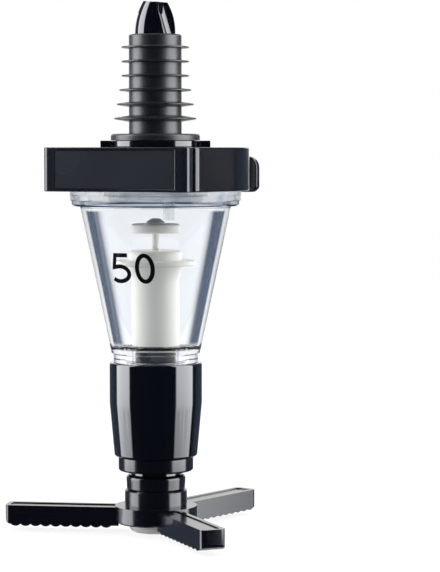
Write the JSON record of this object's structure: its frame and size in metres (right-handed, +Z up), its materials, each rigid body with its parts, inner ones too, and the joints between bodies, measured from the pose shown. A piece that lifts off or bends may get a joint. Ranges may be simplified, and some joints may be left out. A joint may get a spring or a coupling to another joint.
{
  "type": "spirit measure",
  "caption": "Wall-mounted spirit measure with a ribbed bottle stopper, a clear conical chamber and a sprung plunger lifted by radial press arms.",
  "frame": {"origin": "on the pour axis, level with the upper face of the stopper's flange, where the bottle's lip rests", "axes": "+Z up along the pour axis towards the bottle, -Y towards the front with the label, +X to the right"},
  "size_m": [0.0891, 0.0882, 0.1779],
  "materials": {
    "stopper_rubber": "matte",
    "black_plastic": "gloss",
    "cover_plastic": "satin gloss",
    "label_plastic": "satin",
    "clear_plastic": "clear polished",
    "white_plastic": "semi-gloss",
    "pale_plastic": "translucent",
    "grey_plastic": "satin",
    "seal_rubber": "matte",
    "pale_seal": "translucent silicone",
    "spring_steel": "drawn wire"
  },
  "bodies": {
    "housing": {"bottle_stopper": "stopper_rubber", "inlet_spigot": "black_plastic", "spigot_seal": "seal_rubber", "top_cover": "cover_plastic", "label_holder": "cover_plastic", "blank_label": "label_plastic", "inlet_plate": "black_plastic", "air_tube": "pale_plastic", "chamber_gasket": "seal_rubber", "clamp_ring": "clear_plastic", "measuring_chamber": "clear_plastic", "outlet_seal": "pale_seal", "lower_sleeve": "black_plastic", "guide_collar": "black_plastic", "return_spring": "spring_steel"},
    "plunger": {"spindle_barrel": "white_plastic", "spindle_cap": "white_plastic", "stem_spring": "spring_steel", "nozzle_tube": "black_plastic", "neck_ring": "black_plastic", "nozzle_tip": "pale_plastic"},
    "inlet_valve": {"valve_disc": "white_plastic", "valve_stem": "pale_plastic", "valve_nub": "grey_plastic", "stem_clip": "spring_steel"},
    "press_arms": {"press_spider": "black_plastic"}
  },
  "joints": [
    {"name": "plunger_lift", "type": "slide", "parent": "housing", "child": "plunger", "axis": [0, 0, 1], "range_m": [0, 0.009], "stiffness_N_per_m": 400, "springref_m": -0.008, "deforming": ["return_spring"]},
    {"name": "valve_slide", "type": "slide", "parent": "plunger", "child": "inlet_valve", "axis": [0, 0, 1], "range_m": [-0.0019, 0], "deforming": ["stem_spring"]},
    {"name": "arms_swivel", "type": "hinge", "parent": "plunger", "child": "press_arms", "pos_m": [0, 0, -0.1278], "axis": [0, 0, 1], "continuous": true}
  ],
  "couplings": [
    {"joint": "valve_slide", "follows": "plunger_lift", "ratio": -0.2111}
  ]
}
